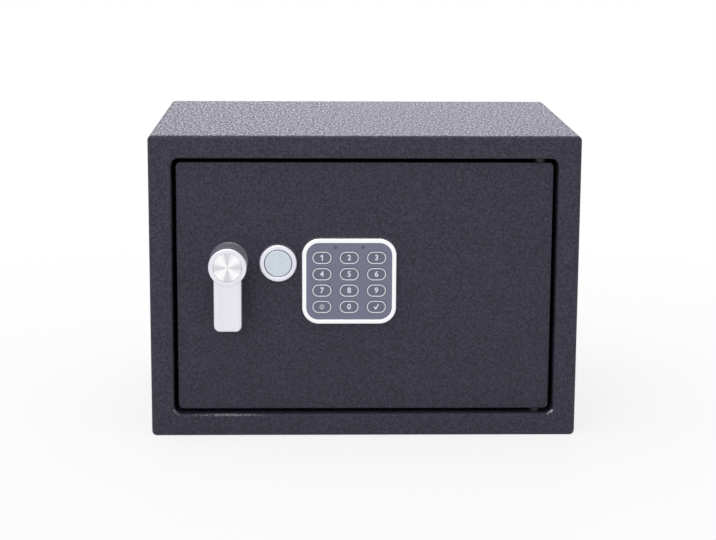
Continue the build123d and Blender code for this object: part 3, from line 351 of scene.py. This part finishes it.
def cellWrap(name, cell):
    # foil sleeve with a darker band near each end, bare metal past it
    material, shader = newMaterial(name, cell["sleeve"], cell["roughness"])
    tree = material.node_tree
    coords = tree.nodes.new("ShaderNodeTexCoord")
    parts = tree.nodes.new("ShaderNodeSeparateXYZ")
    centred = mathNode(tree, "SUBTRACT")
    centred.inputs[1].default_value = cell["centre"]
    along = mathNode(tree, "ABSOLUTE")
    share = tree.nodes.new("ShaderNodeMapRange")
    share.inputs["From Max"].default_value = cell["halfLength"]
    zones = tree.nodes.new("ShaderNodeValToRGB")
    zones.color_ramp.interpolation = "CONSTANT"
    zones.color_ramp.elements[0].color = (*cell["sleeve"], 1.0)
    zones.color_ramp.elements[1].position = cell["bareFrom"]
    zones.color_ramp.elements[1].color = (*cell["metal"], 1.0)
    band = zones.color_ramp.elements.new(cell["bandFrom"])
    band.color = (*cell["band"], 1.0)
    bare = mathNode(tree, "GREATER_THAN")
    bare.inputs[1].default_value = cell["bareFrom"]
    scuff = objectNoise(material, cell["scuff"])
    tree.links.new(coords.outputs["Object"], parts.inputs[0])
    tree.links.new(parts.outputs["X"], centred.inputs[0])
    tree.links.new(centred.outputs[0], along.inputs[0])
    tree.links.new(along.outputs[0], share.inputs["Value"])
    tree.links.new(share.outputs["Result"], zones.inputs["Fac"])
    tree.links.new(share.outputs["Result"], bare.inputs[0])
    tree.links.new(zones.outputs["Color"], shader.inputs["Base Color"])
    tree.links.new(bare.outputs[0], shader.inputs["Metallic"])
    bumpFrom(material, shader, scuff.outputs["Fac"], cell["bump"], fineBump)
    return material


cellLow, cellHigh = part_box("batteries")
cellLook = {
    "centre": (cellLow.x + cellHigh.x) / 2,
    "halfLength": (cellHigh.x - cellLow.x) / 2,
    "sleeve": srgb(44, 84, 138),
    "band": srgb(30, 32, 38),
    "metal": (0.72, 0.72, 0.74),
    "bandFrom": 0.66,
    "bareFrom": 0.93,
    "roughness": 0.3,
    "scuff": 900.0,
    "bump": 0.05,
}
capLow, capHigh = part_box("handle_cap")
spunCap = {
    "centre": ((capLow.x + capHigh.x) / 2, capLow.y, (capLow.z + capHigh.z) / 2),
    "light": srgb(252, 252, 253),
    "dark": srgb(204, 204, 209),
    "roughness": 0.3,
    "streaks": 9.0,
    "streakDetail": 4.0,
    # strength of the painted highlight wedges
    "highlightGain": 2.6,
    "toneFrom": 0.4,
    "toneTo": 1.15,
    "bump": 0.1,
}

finishes = {
    "shell_paint": powderCoat("shellCoat", glinted=True),
    "door_paint": powderCoat("doorCoat", 0.96),
    "inner_paint": powderCoat("innerCoat", 0.9),
    "felt": feltCloth("floorFelt", srgb(40, 40, 44)),
    "zinc_steel": satinMetal("zincSteel", (0.62, 0.63, 0.64), 0.34, 300.0),
    "satin_metal": satinMetal(
        "satinSilver", srgb(233, 232, 241), 0.42, 420.0, (1.0, 1.0, 0.03), 0.04, 0.95
    ),
    "spun_metal": spunMetal("spunSilver", spunCap),
    "bright_metal": satinMetal(
        "brightSilver", srgb(252, 252, 255), 0.3, 1500.0, bump=0.03, depth=0.98
    ),
    "badge_satin": satinMetal(
        "badgeSatin", srgb(213, 222, 230), 0.36, 1500.0, bump=0.3, depth=0.84
    ),
    "brass": satinMetal("turnedBrass", (0.75, 0.58, 0.30), 0.3, 400.0),
    "black_plastic": mouldedPlastic("blackMoulding", srgb(34, 34, 37), 0.5),
    "keypad_grey": mouldedPlastic("keypadGrey", srgb(128, 128, 150), 0.45),
    "key_grey": mouldedPlastic("keyGrey", srgb(112, 112, 132), 0.5),
    "rubber_mat": mouldedPlastic("domeRubber", srgb(90, 90, 96), 0.7),
    "board_green": mouldedPlastic("boardGreen", srgb(24, 84, 50), 0.4),
    "lamp_lens": mouldedPlastic("lampLens", srgb(92, 90, 114), 0.3),
    "coil_tape": mouldedPlastic("coilTape", srgb(190, 130, 40), 0.35, 500.0),
    "cell_wrap": cellWrap("cellWrap", cellLook),
    "bolt_chrome": satinMetal("boltChrome", (0.80, 0.80, 0.82), 0.16, 200.0),
    "red_plastic": mouldedPlastic("redButton", srgb(176, 30, 28), 0.32),
}
slotOf = {entry["node"]: entry["material_slot"] for entry in frame["record"]["subparts"]}
for nodeName, nodeObject in nodes.items():
    dress(nodeObject, finishes[slotOf[nodeName]])
print("materials on", len(nodes), "nodes")

keyPrint = {
    "flange": 1.2 * mm,
    "roundShare": 0.995,
    "bandWidth": 0.75 * mm,
    "bandHeight": 0.12 * mm,
    "roundSegments": 10,
    "legendHeight": 4.6 * mm,
    "textScale": 1.38,
    "legendThickness": 0.06 * mm,
    "legendWeight": 0.13 * mm,
    "strokes": {
        "key_1": [((0.35, -2.25), (0.35, 2.2)), ((-1.0, 1.15), (0.35, 2.2))],
        "key_enter": [((-1.7, 0.1), (-0.5, -1.9)), ((-0.5, -1.9), (1.7, 2.2))],
    },
    "strokeWidth": 0.95 * mm,
    "strokeStep": 0.2,
    "strokeBevels": 2,
    "cogSides": 32,
    "cogRadius": 1.75 * mm,
    "cogRing": 0.95 * mm,
    "cogTooth": 1.24,
    "color": srgb(252, 252, 255),
    "inkRoughness": 0.45,
    "inkGrain": 2500.0,
    "inkShade": 0.9,
    "legends": {"key_set": None, "key_0": "0", "key_enter": None},
}
for digit in range(1, 10):
    keyPrint["legends"][f"key_{digit}"] = str(digit)

inkMaterial, inkShader = newMaterial("legendInk", keyPrint["color"], keyPrint["inkRoughness"])
inkNoise = objectNoise(inkMaterial, keyPrint["inkGrain"])
inkTone = rampBetween(
    inkMaterial,
    inkNoise.outputs["Fac"],
    shaded(keyPrint["color"], keyPrint["inkShade"]),
    keyPrint["color"],
)
inkMaterial.node_tree.links.new(inkTone.outputs["Color"], inkShader.inputs["Base Color"])


def keyFace(keyName):
    # middle of the key's front, and the size of it that shows inside the flange
    low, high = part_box(keyName)
    middle = Vector(((low.x + high.x) / 2, low.y, (low.z + high.z) / 2))
    flanges = 2 * keyPrint["flange"]
    return middle, high.x - low.x - flanges, high.z - low.z - flanges


def ringFromFace(width):
    # the face that is being edited is opened to a ring and raised off the key
    bpy.ops.mesh.select_all(action="SELECT")
    bpy.ops.mesh.inset(thickness=width)
    bpy.ops.mesh.delete(type="FACE")
    bpy.ops.mesh.select_all(action="SELECT")
    bpy.ops.mesh.extrude_region_move(
        TRANSFORM_OT_translate={"value": (0, -keyPrint["bandHeight"], 0)}
    )
    bpy.ops.mesh.select_all(action="SELECT")
    bpy.ops.mesh.normals_make_consistent(inside=False)
    bpy.ops.object.mode_set(mode="OBJECT")


def keyBand(keyName):
    middle, width, height = keyFace(keyName)
    clearSelection()
    bpy.ops.mesh.primitive_plane_add(size=1.0, location=middle, rotation=(math.radians(90), 0, 0))
    band = bpy.context.active_object
    band.scale = (width, height, 1.0)
    settle(band, f"{keyName}_band")
    bpy.ops.object.mode_set(mode="EDIT")
    bpy.ops.mesh.select_all(action="SELECT")
    bpy.ops.mesh.bevel(
        offset=height / 2 * keyPrint["roundShare"],
        segments=keyPrint["roundSegments"], affect="VERTICES",
    )
    ringFromFace(keyPrint["bandWidth"])
    return band


def keyLegend(keyName, text):
    clearSelection()
    bpy.ops.object.text_add(location=keyFace(keyName)[0], rotation=(math.radians(90), 0, 0))
    legend = bpy.context.active_object
    legend.data.body = text
    legend.data.align_x = "CENTER"
    legend.data.align_y = "CENTER"
    legend.data.size = keyPrint["legendHeight"] * keyPrint["textScale"]
    legend.data.offset = keyPrint["legendWeight"]
    legend.data.extrude = keyPrint["legendThickness"]
    bpy.ops.object.convert(target="MESH")
    return settle(legend, f"{keyName}_legend")


def setLegend(keyName):
    # a plain cog: a ring with eight short teeth
    centre = keyFace(keyName)[0]
    clearSelection()
    bpy.ops.mesh.primitive_circle_add(
        vertices=keyPrint["cogSides"], radius=keyPrint["cogRadius"], fill_type="NGON",
        location=centre, rotation=(math.radians(90), 0, 0),
    )
    legend = settle(bpy.context.active_object, f"{keyName}_legend")
    bpy.ops.object.mode_set(mode="EDIT")
    bpy.ops.mesh.select_mode(type="VERT")
    bpy.ops.mesh.select_all(action="DESELECT")
    bpy.ops.object.mode_set(mode="OBJECT")
    for number, vertex in enumerate(legend.data.vertices):
        vertex.select = number % 4 < 2
    bpy.ops.object.mode_set(mode="EDIT")
    bpy.ops.transform.resize(value=(keyPrint["cogTooth"],) * 3, center_override=centre)
    ringFromFace(keyPrint["cogRing"])
    return legend


def strokeLegend(keyName):
    # each later stroke is a little lower, so no two faces share a plane
    middle = keyFace(keyName)[0]
    strokes = []
    for number, (start, end) in enumerate(keyPrint["strokes"][keyName]):
        a = Vector((start[0] * mm, 0, start[1] * mm))
        b = Vector((end[0] * mm, 0, end[1] * mm))
        rise = keyPrint["bandHeight"] * (1.0 - keyPrint["strokeStep"] * number)
        clearSelection()
        bpy.ops.mesh.primitive_cube_add(
            size=1.0, location=(a + b) / 2 + middle - Vector((0, rise / 2, 0)),
            rotation=(0, -math.atan2((b - a).z, (b - a).x), 0),
        )
        stroke = bpy.context.active_object
        stroke.scale = ((b - a).length + keyPrint["strokeWidth"] / 2, rise, keyPrint["strokeWidth"])
        settle(stroke, "legendStroke")
        bpy.ops.object.mode_set(mode="EDIT")
        bpy.ops.mesh.select_all(action="SELECT")
        bpy.ops.mesh.bevel(offset=rise / 3, segments=keyPrint["strokeBevels"])
        bpy.ops.object.mode_set(mode="OBJECT")
        strokes.append(stroke)
    clearSelection()
    for stroke in strokes:
        stroke.select_set(True)
    bpy.context.view_layer.objects.active = strokes[0]
    bpy.ops.object.join()
    return settle(bpy.context.active_object, f"{keyName}_legend")


for keyName, text in keyPrint["legends"].items():
    marks = [keyBand(keyName)]
    if keyName in keyPrint["strokes"]:
        marks.append(strokeLegend(keyName))
    elif text:
        marks.append(keyLegend(keyName, text))
    else:
        marks.append(setLegend(keyName))
    for mark in marks:
        dress(mark, inkMaterial)
        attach(mark, f"{keyName}_body")
print("keypad legends made")

# cross-slotted screws of the inner cover, in place of the plain CAD ones
coverScrew = {
    "headRadius": 3.5 * mm,
    "headHeight": 2.0 * mm,
    "shankRadius": 1.9 * mm,
    "rim": 0.7 * mm,
    "slotLength": 3.6 * mm,
    "slotWidth": 0.9 * mm,
    "slotDepth": 1.0 * mm,
    "sides": 48,
    "rimSegments": 4,
    "facing": 0.9,
}


def slotCutter(place, turned):
    clearSelection()
    bpy.ops.mesh.primitive_cube_add(size=1.0, location=place)
    cutter = bpy.context.active_object
    wide, tall = coverScrew["slotLength"], coverScrew["slotWidth"]
    deep = 2 * coverScrew["slotDepth"]
    cutter.scale = (wide, deep, tall) if turned else (tall, deep, wide)
    return settle(cutter, "slotCutter")


def editFaces(piece, side):
    # selects the flat faces that look forward (side -1) or backward (side 1), in edit mode
    bpy.ops.object.mode_set(mode="EDIT")
    bpy.ops.mesh.select_mode(type="FACE")
    bpy.ops.mesh.select_all(action="DESELECT")
    bpy.ops.object.mode_set(mode="OBJECT")
    for face in piece.data.polygons:
        face.select = face.normal.y * side > coverScrew["facing"]
    bpy.ops.object.mode_set(mode="EDIT")


def crossScrew(name, place, backY, tipY):
    # head first, then the shank drawn out of its front face, the back rim rounded
    clearSelection()
    bpy.ops.mesh.primitive_cylinder_add(
        vertices=coverScrew["sides"], radius=coverScrew["headRadius"], depth=coverScrew["headHeight"],
        location=(place[0], backY - coverScrew["headHeight"] / 2, place[1]),
        rotation=(math.radians(90), 0, 0),
    )
    screw = settle(bpy.context.active_object, name)
    editFaces(screw, -1)
    bpy.ops.mesh.inset(thickness=coverScrew["headRadius"] - coverScrew["shankRadius"])
    bpy.ops.mesh.extrude_region_move(
        TRANSFORM_OT_translate={"value": (0, tipY - backY + coverScrew["headHeight"], 0)}
    )
    editFaces(screw, 1)
    bpy.ops.mesh.bevel(offset=coverScrew["rim"], segments=coverScrew["rimSegments"])
    bpy.ops.object.mode_set(mode="OBJECT")
    for turned in (False, True):
        cutter = slotCutter((place[0], backY, place[1]), turned)
        carve = screw.modifiers.new("slot", "BOOLEAN")
        carve.operation = "DIFFERENCE"
        carve.object = cutter
        finishMods(screw)
        bpy.data.objects.remove(cutter, do_unlink=True)
    smoothByAngle(screw)
    return screw


screwLow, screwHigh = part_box("cover_screws")
screwXs = (screwLow.x + coverScrew["headRadius"], screwHigh.x - coverScrew["headRadius"])
screwZs = (screwLow.z + coverScrew["headRadius"], screwHigh.z - coverScrew["headRadius"])
firstScrew = crossScrew("cover_screw_1", (screwXs[0], screwZs[0]), screwHigh.y, screwLow.y)
screwPieces = [firstScrew]
for screwX, screwZ in ((screwXs[1], screwZs[0]), (screwXs[0], screwZs[1]), (screwXs[1], screwZs[1])):
    copyPiece = firstScrew.copy()
    copyPiece.data = firstScrew.data.copy()
    bpy.context.collection.objects.link(copyPiece)
    copyPiece.location = (screwX - screwXs[0], 0, screwZ - screwZs[0])
    screwPieces.append(settle(copyPiece, f"cover_screw_{len(screwPieces) + 1}"))
for piece in screwPieces:
    dress(piece, finishes["zinc_steel"])
    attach(piece, "door")
    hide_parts("cover_screws")
print("cover screws made")

# the floor glows white to the camera, least near the object, where its shadow stays
floorPlan = {
    "size": 60.0,
    "color": (0.93, 0.93, 0.94),
    "roughness": 0.9,
    "glowNear": 0.8,
    "underReach": 0.115,
    "shadowReach": 0.3,
    "whiteReach": 0.8,
}
clearSelection()
bpy.ops.mesh.primitive_plane_add(size=floorPlan["size"], location=(0, 0, 0))
floor = bpy.context.active_object
floor.name = "studioFloor"
floorMaterial, floorShader = newMaterial("paleFloor", floorPlan["color"], floorPlan["roughness"])
floorTree = floorMaterial.node_tree
glow = floorTree.nodes.new("ShaderNodeEmission")
glow.inputs["Color"].default_value = (1, 1, 1, 1)
floorCoords = floorTree.nodes.new("ShaderNodeTexCoord")
reach = mathNode(floorTree, "LENGTH", "ShaderNodeVectorMath")
spread = floorTree.nodes.new("ShaderNodeMapRange")
spread.inputs["From Min"].default_value = floorPlan["shadowReach"]
spread.inputs["From Max"].default_value = floorPlan["whiteReach"]
spread.inputs["To Min"].default_value = floorPlan["glowNear"]
beyond = mathNode(floorTree, "GREATER_THAN")
beyond.inputs[1].default_value = floorPlan["underReach"]
outside = mathNode(floorTree, "MULTIPLY")
lightPath = floorTree.nodes.new("ShaderNodeLightPath")
seen = mathNode(floorTree, "MAXIMUM")
share = mathNode(floorTree, "MULTIPLY")
mixer = floorTree.nodes.new("ShaderNodeMixShader")
floorTree.links.new(floorCoords.outputs["Object"], reach.inputs[0])
floorTree.links.new(reach.outputs["Value"], spread.inputs["Value"])
floorTree.links.new(lightPath.outputs["Is Camera Ray"], seen.inputs[0])
floorTree.links.new(lightPath.outputs["Is Glossy Ray"], seen.inputs[1])
floorTree.links.new(seen.outputs[0], share.inputs[0])
floorTree.links.new(reach.outputs["Value"], beyond.inputs[0])
floorTree.links.new(beyond.outputs[0], outside.inputs[0])
floorTree.links.new(spread.outputs["Result"], outside.inputs[1])
floorTree.links.new(outside.outputs[0], share.inputs[1])
floorTree.links.new(share.outputs[0], mixer.inputs["Fac"])
floorTree.links.new(floorShader.outputs["BSDF"], mixer.inputs[1])
floorTree.links.new(glow.outputs["Emission"], mixer.inputs[2])
floorTree.links.new(mixer.outputs["Shader"], floorTree.nodes["Material Output"].inputs["Surface"])
floor.data.materials.append(floorMaterial)

# soft world light, plain white where the camera or a reflection sees it
worldPlan = {"color": (0.93, 0.94, 1.0), "strength": 0.5}
world = bpy.data.worlds.new("studioWorld")
bpy.context.scene.world = world
world.use_nodes = True
worldTree = world.node_tree
plain = worldTree.nodes["Background"]
plain.inputs["Color"].default_value = (*worldPlan["color"], 1.0)
plain.inputs["Strength"].default_value = worldPlan["strength"]
white = worldTree.nodes.new("ShaderNodeBackground")
white.inputs["Color"].default_value = (1, 1, 1, 1)
white.inputs["Strength"].default_value = 1.0
worldPath = worldTree.nodes.new("ShaderNodeLightPath")
mirrored = mathNode(worldTree, "MAXIMUM")
either = mathNode(worldTree, "MAXIMUM")
worldMix = worldTree.nodes.new("ShaderNodeMixShader")
worldTree.links.new(worldPath.outputs["Is Glossy Ray"], mirrored.inputs[0])
worldTree.links.new(worldPath.outputs["Is Transmission Ray"], mirrored.inputs[1])
worldTree.links.new(worldPath.outputs["Is Camera Ray"], either.inputs[0])
worldTree.links.new(mirrored.outputs[0], either.inputs[1])
worldTree.links.new(either.outputs[0], worldMix.inputs["Fac"])
worldTree.links.new(plain.outputs["Background"], worldMix.inputs[1])
worldTree.links.new(white.outputs["Background"], worldMix.inputs[2])
worldTree.links.new(worldMix.outputs["Shader"], worldTree.nodes["World Output"].inputs["Surface"])

lamps = {
    "topSoft": {
        "at": (-0.2, -0.1, 1.7), "aim": (0, 0, 0.2), "size": 1.4, "power": 12.0, "tint": (1, 1, 1),
    },
    "frontSoft": {
        "at": (-0.9, -2.0, 1.3), "aim": (0, -0.1, 0.12), "size": 1.2, "power": 9.0, "tint": (1, 1, 1),
    },
    "backSoft": {
        "at": (0.05, 1.5, 0.8), "aim": (0, 0, 0.25), "size": 1.1, "power": 7.0, "tint": (0.86, 0.83, 1.0),
    },
}
for lampName, plan in lamps.items():
    clearSelection()
    bpy.ops.object.light_add(type="AREA", location=plan["at"])
    lamp = bpy.context.active_object
    lamp.name = lampName
    lamp.data.size = plan["size"]
    lamp.data.energy = plan["power"]
    lamp.data.color = plan["tint"]
    toward = Vector(plan["aim"]) - Vector(plan["at"])
    lamp.rotation_euler = toward.to_track_quat("-Z", "Y").to_euler()

# fitted to the cabinet's six visible corners, focal length and shift in pixels of the frame
viewPoint = {
    "at": (-0.04117, -1.5432, 0.4361),
    "yaw": 1.438,
    "pitch": 10.626,
    "roll": 0.288,
    "focalPixels": 1779.32,
    "shiftPixels": -36.0,
    "frameWidth": 716.0,
    "sensor": 36.0,
    "clipEnd": 50.0,
}
yaw, pitch, roll = (math.radians(viewPoint[key]) for key in ("yaw", "pitch", "roll"))
ahead = Vector((math.sin(yaw) * math.cos(pitch), math.cos(yaw) * math.cos(pitch), -math.sin(pitch)))
level = Vector((math.cos(yaw), -math.sin(yaw), 0))
upright = level.cross(ahead)
right = level * math.cos(roll) + upright * math.sin(roll)
above = upright * math.cos(roll) - level * math.sin(roll)
clearSelection()
bpy.ops.object.camera_add(location=viewPoint["at"])
camera = bpy.context.active_object
camera.rotation_euler = Matrix((right, above, -ahead)).transposed().to_euler()
camera.data.sensor_width = viewPoint["sensor"]
camera.data.lens = viewPoint["focalPixels"] / viewPoint["frameWidth"] * viewPoint["sensor"]
camera.data.shift_y = viewPoint["shiftPixels"] / viewPoint["frameWidth"]
camera.data.clip_end = viewPoint["clipEnd"]
bpy.context.scene.camera = camera
bpy.context.scene.view_settings.view_transform = "Standard"
print("floor, lights and camera set")
